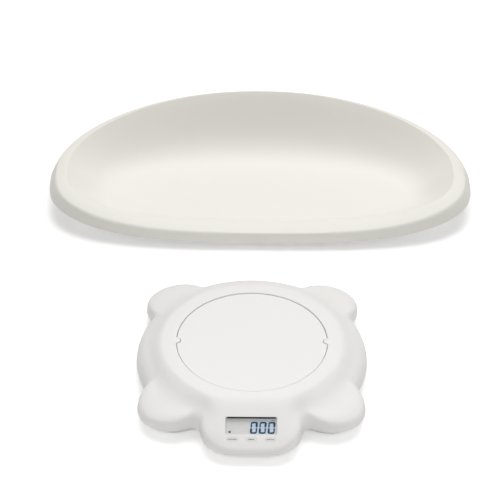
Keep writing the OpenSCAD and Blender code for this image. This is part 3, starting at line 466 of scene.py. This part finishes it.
# A moulded plastic has its name, two colours, range of roughness, grain size and grain depth in mm,
# and then, where it isn't the usual ABS, the size of its colour drift in mm and its index of
# refraction. A metal has its name, two colours, range of roughness, line size in mm, the lines'
# scale along X, Y and Z, and their depth in mm
MATERIALS = {
    # ABS from a spark-eroded mould: a soft sheen without sharp reflections, and a neutral white.
    # The mould's 0.1 mm grain is too fine to show, so it is drawn at 1.2 mm
    "shell": moulded_plastic(
        "Satin ABS", ["#E8E7E5", "#E9E8E6"], (0.5, 0.55), 1.2, 0.012, 90
    ),
    # ABS with a fine mould grain, drawn at 3 mm: a warmer white with a soft sheen
    "tray": moulded_plastic("Tray ABS", ["#ECEAE3", "#EDEBE4"], (0.55, 0.6), 3, 0.006, 90),
    # Matte ABS of the underside, from a coarse mould: greyer, with a grain that catches the light
    "case": moulded_plastic("Matte ABS", ["#DAD9D6", "#E1E0DD"], (0.5, 0.6), 0.9, 0.03),
    # ABS of the keys, rubbed smoother by fingers than the shell round them
    "key": moulded_plastic("Keycap ABS", ["#E2E1DF", "#E8E7E5"], (0.4, 0.48), 0.8, 0.01),
    # Nitrile rubber of the feet and pads: almost black, with a dusty bloom that takes its shine
    "rubber": moulded_plastic(
        "Nitrile rubber", ["#26262A", "#34343A"], (0.7, 0.85), 0.7, 0.04, 12, 1.52
    ),
    # Soft PVC round the load cell's cable: a pale grey with a waxy sheen
    "cable": moulded_plastic(
        "Grey PVC jacket", ["#B4B3B0", "#C2C1BE"], (0.42, 0.55), 1.5, 0.02, 15
    ),
    # PVC round the battery leads, in the usual red and black, a little glossier than the cable
    "lead_red": moulded_plastic(
        "Red PVC insulation", ["#8E1714", "#A51E1A"], (0.35, 0.5), 1.2, 0.02, 10
    ),
    "lead_black": moulded_plastic(
        "Black PVC insulation", ["#151517", "#202022"], (0.35, 0.5), 1.2, 0.02, 10
    ),
    # Epoxy round the chips and switches: black and dull, with a sandy grain
    "chip": moulded_plastic(
        "Moulded epoxy", ["#161617", "#202022"], (0.55, 0.7), 0.3, 0.02, 4, 1.55
    ),
    # The circuit board's lacquer: deep green, with tracks that stand out a little paler
    "board": solder_mask(),
    # Acrylic of the light guide behind the display: pale blue and smooth
    "guide": moulded_plastic(
        "Light guide acrylic", ["#D8E4F0", "#E6EEF6"], (0.2, 0.3), 1.5, 0.02, 10, 1.49
    ),
    # Strips that join the glass to the board: pink and dark stripes
    "strip": striped_silicone(),
    # Cast aluminium of the platform's carrier: grey, with a cloudy cast skin
    "cast": metal(
        "Die-cast aluminium", ["#B9BBBD", "#C9CBCD"], (0.42, 0.55), 1.6, (1, 1, 1), 0.03
    ),
    # Milled aluminium of the load cell: brighter, with cutter lines along X
    "bar": metal(
        "Milled aluminium", ["#C4C6C9", "#D4D6D9"], (0.24, 0.36), 0.8, (0.05, 1, 1), 0.01
    ),
    # Zinc on the screws, springs and plates: a bluish grey shine with faint clouds
    "steel": metal(
        "Zinc-plated steel", ["#A9ADB2", "#BFC2C6"], (0.26, 0.4), 0.9, (1, 1, 1), 0.01
    ),
    # Copper-nickel foil of the strain gauges: brown gold, with grid lines along Y
    "gauge": metal(
        "Constantan foil", ["#B08A4E", "#C8A468"], (0.3, 0.42), 0.5, (1, 0.05, 1), 0.01
    ),
    # The cells' printed jacket: a dark and gold band with scuffed gloss
    "jacket": banded_jacket(),
    # The window over the display: clear, with a sharp shine at low angles
    "lens": clear_acrylic(),
    # The display's glass: a grey field and a cold glow behind the digits, an emission that stands
    # for the backlight and is also painted light lifting the window's shade
    "lcd": liquid_crystal(),
    # The label under the base: brushed silver with plain bars
    "label": label_film(),
    # Closed-cell foam: very matte, with a coarse open grain. Its near-black colour is painted shade:
    # the strip darkens the rear wall of the display window's recess, which lies in shade
    "seal": moulded_plastic(
        "Closed-cell foam darkened as painted shade", ["#2B2827", "#3A3634"], (0.85, 0.95), 0.6, 0.05, 8, 1.5
    ),
    # The dark image that the driven liquid crystal makes under its glass
    "ink": moulded_plastic(
        "Driven liquid crystal", ["#333F4B", "#3D4A57"], (0.3, 0.4), 1.0, 0.002, 5, 1.5
    ),
    # Pad-printed marks: a mid grey that lies flat on the keys
    "mark": moulded_plastic(
        "Pad-printing ink", ["#8B8B88", "#979794"], (0.5, 0.6), 0.5, 0.004, 4, 1.5
    ),
}

# The material that each slot of the CAD model gets
LOOKS = {
    "shell_white": "shell",
    "tray_white": "tray",
    "case_white": "case",
    "key_white": "key",
    "steel": "steel",
    "aluminium": "cast",
    "rubber": "rubber",
    "strip_rubber": "strip",
    "gauge_foil": "gauge",
    "cable_grey": "cable",
    "lead_red": "lead_red",
    "lens": "lens",
    "lcd_glass": "lcd",
    "backlight": "guide",
    "board_green": "board",
    "chip_black": "chip",
    "cell_jacket": "jacket",
    # The window's foam strip is near black as painted shade of the recess wall
    "seal_foam": "seal",
    "label_film": "label",
}


# ---- Helpers for pieces --------------------------------------------------------------------------


def only(piece):
    """Makes a piece the only selected and active one."""
    bpy.ops.object.select_all(action="DESELECT")
    piece.select_set(True)
    bpy.context.view_layer.objects.active = piece


def paint(piece, material):
    """Gives a piece one material all over."""
    piece.data.materials.clear()
    piece.data.materials.append(material)


def copy_of(piece):
    """A copy of a piece with a mesh of its own."""
    twin = bpy.data.objects.new(piece.name, piece.data.copy())
    bpy.context.scene.collection.objects.link(twin)
    twin.matrix_world = piece.matrix_world
    return twin


def finish_piece(piece, name, body, material, angle=SMOOTH_ANGLE):
    """Names a finished piece, shades it smooth below an angle, and lets it ride on its body."""
    piece.name = name
    only(piece)
    bpy.ops.object.transform_apply(location=True, rotation=True, scale=True)
    bpy.ops.object.shade_smooth_by_angle(angle=math.radians(angle))
    paint(piece, MATERIALS[material])
    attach(piece, body)


def finish_mark(piece, name):
    """Finishes a piece of the dark image on the display."""
    finish_piece(piece, name, BODY_OF["lcd_panel"], "ink")


def smooth_copy(node, material):
    """A copy of a CAD node's mesh, merged and shaded smooth, that stands for the node."""
    piece = bpy.data.objects.new(node + "_look", nodes[node].data.copy())
    bpy.context.scene.collection.objects.link(piece)
    only(piece)
    bpy.ops.mesh.customdata_custom_splitnormals_clear()
    bpy.ops.object.mode_set(mode="EDIT")
    bpy.ops.mesh.select_all(action="SELECT")
    bpy.ops.mesh.remove_doubles(threshold=1e-6)
    bpy.ops.object.mode_set(mode="OBJECT")
    bpy.ops.object.shade_smooth_by_angle(angle=math.radians(SMOOTH_ANGLE))
    paint(piece, MATERIALS[material])
    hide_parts(node)
    return piece


def select_by(piece, kind, wanted):
    """Selects a piece's vertices or polygons, in edit mode, whose place fulfils a condition."""
    bpy.ops.object.mode_set(mode="EDIT")
    bpy.ops.mesh.select_mode(type="VERT" if kind == "vertices" else "FACE")
    bpy.ops.mesh.select_all(action="DESELECT")
    bpy.ops.object.mode_set(mode="OBJECT")
    for part in getattr(piece.data, kind):
        part.select = wanted(part.co if kind == "vertices" else part.center)
    bpy.ops.object.mode_set(mode="EDIT")


def round_corners(radius, segments):
    """Rounds the corners of a flat face in edit mode by a radius in millimetres."""
    bpy.ops.mesh.bevel(offset=radius * MM, affect="VERTICES", segments=segments)


def flat_plate(width, height):
    """A flat rectangle in millimetres, scaled to metres, in edit mode with all selected."""
    bpy.ops.mesh.primitive_plane_add(size=1, location=(0, 0, 0))
    rectangle = bpy.context.object
    bpy.ops.object.mode_set(mode="EDIT")
    bpy.ops.mesh.select_all(action="SELECT")
    bpy.ops.transform.resize(value=(width * MM, height * MM, 1))
    return rectangle


def thicken(thickness):
    """Pulls a flat face in edit mode up into a plate of a thickness in millimetres."""
    bpy.ops.mesh.select_all(action="SELECT")
    bpy.ops.mesh.extrude_region_move(TRANSFORM_OT_translate={"value": (0, 0, thickness * MM)})
    bpy.ops.mesh.select_all(action="SELECT")
    bpy.ops.mesh.normals_make_consistent(inside=False)
    bpy.ops.object.mode_set(mode="OBJECT")


def lay_on_display(piece, x, y, height):
    """Turns a flat piece into the display's tilt and sets it at a place in millimetres. height is
    square to the liquid crystal glass, from its middle."""
    turn = Matrix.Rotation(DISPLAY_TILT, 4, "X")
    piece.matrix_world = Matrix.Translation(DISPLAY_CENTRE) @ turn @ Matrix.Translation(
        (x * MM, y * MM, height * MM)
    )


# ---- CAD pieces with smooth shading --------------------------------------------------------------

# Nodes that get a handling or a form of their own, further down
OWN_WAY = {"load_cell", "battery_springs"}
for name in sorted(set(nodes) - OWN_WAY):
    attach(smooth_copy(name, LOOKS[SLOTS[name]]), BODY_OF[name])

# A bar load cell bends a little under a load: the end that is screwed to the case stays, and the
# end that carries the platform goes down with it. Here its two ends are only found from its screws,
# and the cell gets a smooth copy with its transform baked in, not bent and on no body
fixed_end = middle_of("load_cell_lower_screws")
free_end = middle_of("load_cell_upper_screws")
fixed_end.z = free_end.z
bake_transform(smooth_copy("load_cell", "bar"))

# The second of the two battery leads is black: its mesh is the loose part that holds the last face
leads = bpy.data.objects["battery_leads_look"]
leads.data.materials.append(MATERIALS["lead_black"])
leads.active_material_index = 1
only(leads)
bpy.ops.object.mode_set(mode="EDIT")
bpy.ops.mesh.select_mode(type="FACE")
bpy.ops.mesh.select_all(action="DESELECT")
bpy.ops.object.mode_set(mode="OBJECT")
leads.data.polygons[-1].select = True
bpy.ops.object.mode_set(mode="EDIT")
bpy.ops.mesh.select_linked()
bpy.ops.object.material_slot_assign()
bpy.ops.object.mode_set(mode="OBJECT")


# ---- Display image and printed marks -------------------------------------------------------------


def zero_digit():
    """An oblong zero of a seven-segment display: two half loops with a gap at each side, slanted."""
    zero = flat_plate(DIGIT_WIDTH, DIGIT_HEIGHT)
    round_corners(DIGIT_CORNER, 5)
    bpy.ops.mesh.select_all(action="SELECT")
    bpy.ops.mesh.inset(thickness=DIGIT_STROKE * MM)
    bpy.ops.mesh.delete(type="FACE")
    half_gap = DIGIT_GAP / 2 * MM
    for side in (-1, 1):
        bpy.ops.mesh.select_all(action="SELECT")
        bpy.ops.mesh.bisect(plane_co=(0, side * half_gap, 0), plane_no=(0, 1, 0))
    select_by(zero, "polygons", lambda place: abs(place.y) < half_gap)
    bpy.ops.mesh.delete(type="FACE")
    # The slant shifts the two round ends to opposite sides. Each starts where the straight sides
    # end, and a margin of 0.1 mm takes those ends along
    straight = (DIGIT_HEIGHT / 2 - DIGIT_CORNER - 0.1) * MM
    for side in (-1, 1):
        select_by(zero, "vertices", lambda place: place.y * side > straight)
        bpy.ops.transform.translate(value=(side * DIGIT_SLANT / 2 * MM, 0, 0))
    thicken(INK_THICKNESS)
    return zero


digit = zero_digit()
x, y = DIGITS_MIDDLE
for order in (-1, 0, 1):
    twin = copy_of(digit)
    lay_on_display(twin, x + order * DIGIT_PITCH, y, LCD_HALF_THICKNESS)
    finish_mark(twin, "display_digit_" + str(order + 2))
bpy.data.objects.remove(digit)

# Pointer at the left of the display, a triangle that points left: the rotation turns it the other
# way than its sign says
bpy.ops.mesh.primitive_circle_add(vertices=3, radius=POINTER_RADIUS * MM, fill_type="NGON")
pointer = bpy.context.object
bpy.ops.object.mode_set(mode="EDIT")
bpy.ops.mesh.select_all(action="SELECT")
bpy.ops.transform.rotate(value=math.radians(-90), orient_axis="Z", center_override=(0, 0, 0))
round_corners(POINTER_CORNER, 2)
thicken(INK_THICKNESS)
lay_on_display(pointer, *POINTER, LCD_HALF_THICKNESS)
finish_mark(pointer, "display_pointer")

# Two short unit marks over the last digit
for order, place in enumerate(UNIT_MARKS, start=1):
    mark = flat_plate(UNIT_MARK_WIDTH, UNIT_MARK_HEIGHT)
    round_corners(UNIT_MARK_CORNER, 2)
    thicken(INK_THICKNESS)
    lay_on_display(mark, *place, LCD_HALF_THICKNESS)
    finish_mark(mark, "display_unit_mark_" + str(order))

# A plain printed bar with round ends on each key
for key, (order, length, width) in KEY_BARS.items():
    bar = flat_plate(length, width)
    round_corners(width * KEY_BAR_CORNER_SHARE, 4)
    thicken(KEY_BAR_THICKNESS)
    lay_on_display(bar, order * KEY_PITCH, KEY_ROW, KEY_RISE + LCD_HALF_THICKNESS)
    finish_piece(bar, key + "_bar", BODY_OF[key], "mark")


# ---- Battery springs -----------------------------------------------------------------------------


def coil_spring():
    """A wire coil that stands up from the origin along X, by the Screw modifier."""
    bpy.ops.mesh.primitive_circle_add(
        vertices=SPRING_WIRE_SIDES,
        radius=SPRING_WIRE / 2 * MM,
        fill_type="NGON",
        location=(0, 0, 0),
    )
    coil = bpy.context.object
    bpy.ops.object.mode_set(mode="EDIT")
    bpy.ops.mesh.select_all(action="SELECT")
    for axis in ("Y", "Z"):
        bpy.ops.transform.rotate(
            value=math.radians(90), orient_axis=axis, center_override=(0, 0, 0)
        )
    bpy.ops.transform.translate(value=(SPRING_WIRE / 2 * MM, SPRING_RADIUS * MM, 0))
    bpy.ops.object.mode_set(mode="OBJECT")
    screw = coil.modifiers.new("Coil", "SCREW")
    screw.axis = "X"
    screw.angle = math.radians(360)
    screw.screw_offset = SPRING_RISE * MM
    screw.iterations = SPRING_TURNS
    screw.steps = SPRING_STEPS
    screw.render_steps = SPRING_STEPS
    only(coil)
    bpy.ops.object.modifier_apply(modifier="Coil")
    return coil


# One spring on its round contact plate, and a copy of it for each cell
spring = coil_spring()
bpy.ops.mesh.primitive_cylinder_add(
    vertices=SPRING_PLATE_SIDES,
    radius=SPRING_PLATE_RADIUS * MM,
    depth=SPRING_PLATE_THICKNESS * MM,
    location=(SPRING_PLATE_THICKNESS / 2 * MM, 0, 0),
    rotation=(0, math.radians(90), 0),
)
plate = bpy.context.object
bpy.ops.object.mode_set(mode="EDIT")
bpy.ops.mesh.select_all(action="SELECT")
bpy.ops.mesh.bevel(offset=SPRING_PLATE_EDGE * MM, segments=2)
bpy.ops.object.mode_set(mode="OBJECT")
spring.select_set(True)
bpy.context.view_layer.objects.active = plate
bpy.ops.object.join()
for order in (-1, 0, 1):
    twin = copy_of(plate)
    place = (
        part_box("battery_springs")[0][0],
        (CELLS_LOW[1] + CELLS_HIGH[1]) / 2 + order * CELL_PITCH * MM,
        (CELLS_LOW[2] + CELLS_HIGH[2]) / 2,
    )
    twin.matrix_world = Matrix.Translation(place) @ plate.matrix_world
    finish_piece(
        twin,
        "battery_spring_" + str(order + 2),
        BODY_OF["battery_springs"],
        "steel",
        SPRING_SMOOTH_ANGLE,
    )
    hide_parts("battery_springs")
bpy.data.objects.remove(plate)


# ---- Floor, light and camera ---------------------------------------------------------------------

bpy.ops.mesh.primitive_plane_add(size=FLOOR_SIZE, location=(0, 0, 0))
floor = bpy.context.object
floor.name = "Floor"
paint(floor, white_floor())


def softbox(name, place, target, size, power, spread=180, in_view=False):
    """A rectangular white light at a place, turned to a target. spread is its beam in degrees."""
    bpy.ops.object.light_add(type="AREA", location=place)
    light = bpy.context.object
    light.name = name
    light.data.shape = "RECTANGLE"
    light.data.size, light.data.size_y = size
    light.data.energy = power
    light.data.spread = math.radians(spread)
    light.rotation_euler = (Vector(target) - Vector(place)).to_track_quat("-Z", "Y").to_euler()
    light.visible_camera = in_view


# The key light comes from above and behind, so the tray's far wall lies in its own shade. The two
# side lights and the narrow front one lift the base's flanks and display, and the tray far less
softbox("Overhead softbox", (0.1, 1.35, 2.2), (0, 0.05, 0), (2.4, 1.8), 60, in_view=True)
softbox("Right softbox", (1.1, -0.35, 0.6), (0, -0.2, 0.02), (0.6, 0.6), 2.8)
softbox("Left softbox", (-1.1, -0.35, 0.6), (0, -0.2, 0.02), (0.6, 0.6), 2.2)
softbox("Front fill", (0, -0.85, 0.5), (0, -0.25, 0), (0.8, 0.4), 0.52, spread=70)

world = bpy.data.worlds.new("Studio")
bpy.context.scene.world = world
world.use_nodes = True
sky = world.node_tree.nodes["Background"].inputs
sky["Color"].default_value = linear("#F5F3EF")
sky["Strength"].default_value = 0.12

bpy.ops.object.camera_add()
camera = bpy.context.object
camera.name = "Camera"
camera.data.lens = CAMERA_LENS_MM
camera.data.sensor_width = CAMERA_SENSOR_MM
camera.matrix_world = (
    Matrix.Translation(CAMERA_PLACE)
    @ Matrix.Rotation(CAMERA_YAW, 4, "Z")
    @ Matrix.Rotation(CAMERA_TILT, 4, "X")
    @ Matrix.Rotation(CAMERA_ROLL, 4, "Z")
)
scene = bpy.context.scene
scene.camera = camera
scene.view_settings.view_transform = "Standard"
